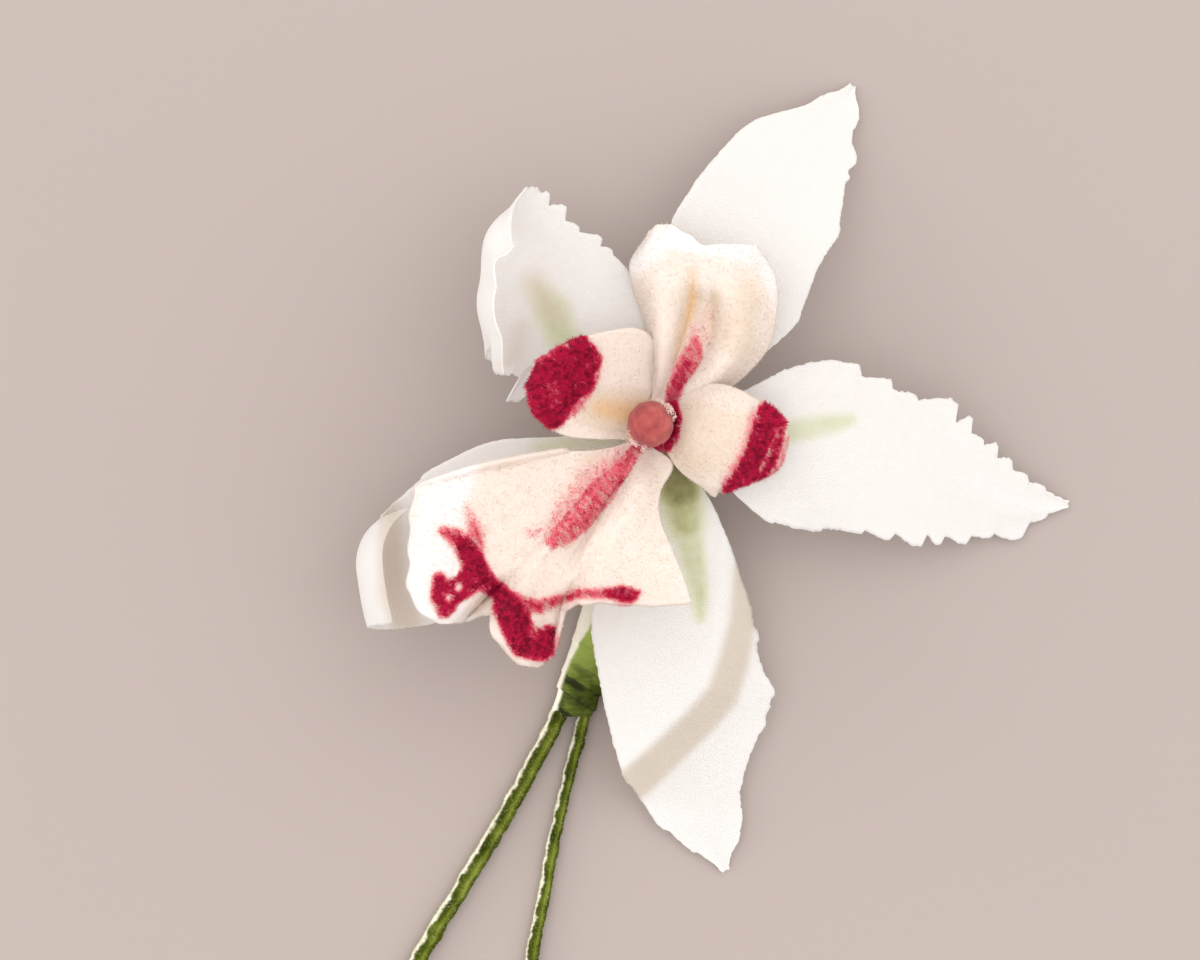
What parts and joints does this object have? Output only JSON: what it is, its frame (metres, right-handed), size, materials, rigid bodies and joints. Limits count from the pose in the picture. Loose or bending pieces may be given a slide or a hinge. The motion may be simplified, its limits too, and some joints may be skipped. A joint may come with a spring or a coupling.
{
  "type": "orchid boutonniere",
  "caption": "Fabric orchid boutonniere lying on its back: toothed silk petals, a four-lobed velvet lip, a bead, a taped calyx and thread-wrapped wire stems.",
  "frame": {"origin": "centre of the calyx's flat foot, on the surface that the flower lies on", "axes": "+Z out of the flower's face, up from the surface; +Y towards the top of the bloom, so the stems run down to -Y; +X to the bloom's right"},
  "size_m": [0.0782, 0.1103, 0.0246],
  "materials": {
    "silk": "satin",
    "velvet": "matte",
    "bead": "matte",
    "thread": "satin",
    "tape": "satin",
    "wire": "satin"
  },
  "bodies": {
    "root": {"dorsal_sepal": "silk", "right_petal": "silk", "lower_sepal": "silk", "left_sepal": "silk", "left_petal": "silk", "lip": "velvet", "bead": "bead", "calyx": "tape", "neck_tape": "tape", "long_stem": "thread", "short_stem": "thread", "bloom_wire": "wire", "short_wire": "wire"}
  },
  "joints": []
}
